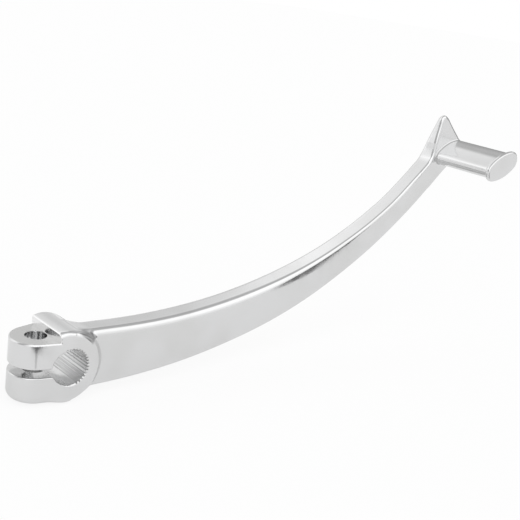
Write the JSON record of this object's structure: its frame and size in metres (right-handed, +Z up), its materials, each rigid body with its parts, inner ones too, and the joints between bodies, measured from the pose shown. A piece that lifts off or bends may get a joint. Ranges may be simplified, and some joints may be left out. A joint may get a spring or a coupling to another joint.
{
  "type": "kick start lever",
  "caption": "Curved, tapering cast lever with a splined pinch clamp at one end and a short oval foot peg with an end flange at the other.",
  "frame": {"origin": "middle of the clamp bore, on its axis and halfway through the hub's width", "axes": "+X from the bore towards the arm, +Y along the bore to the back face that looks at the engine (the peg stands out towards -Y), +Z up along the pinch bolt"},
  "size_m": [0.248, 0.0545, 0.1125],
  "materials": {
    "alloy": "polished"
  },
  "bodies": {
    "root": {"clamp": "alloy", "arm": "alloy"}
  },
  "joints": []
}
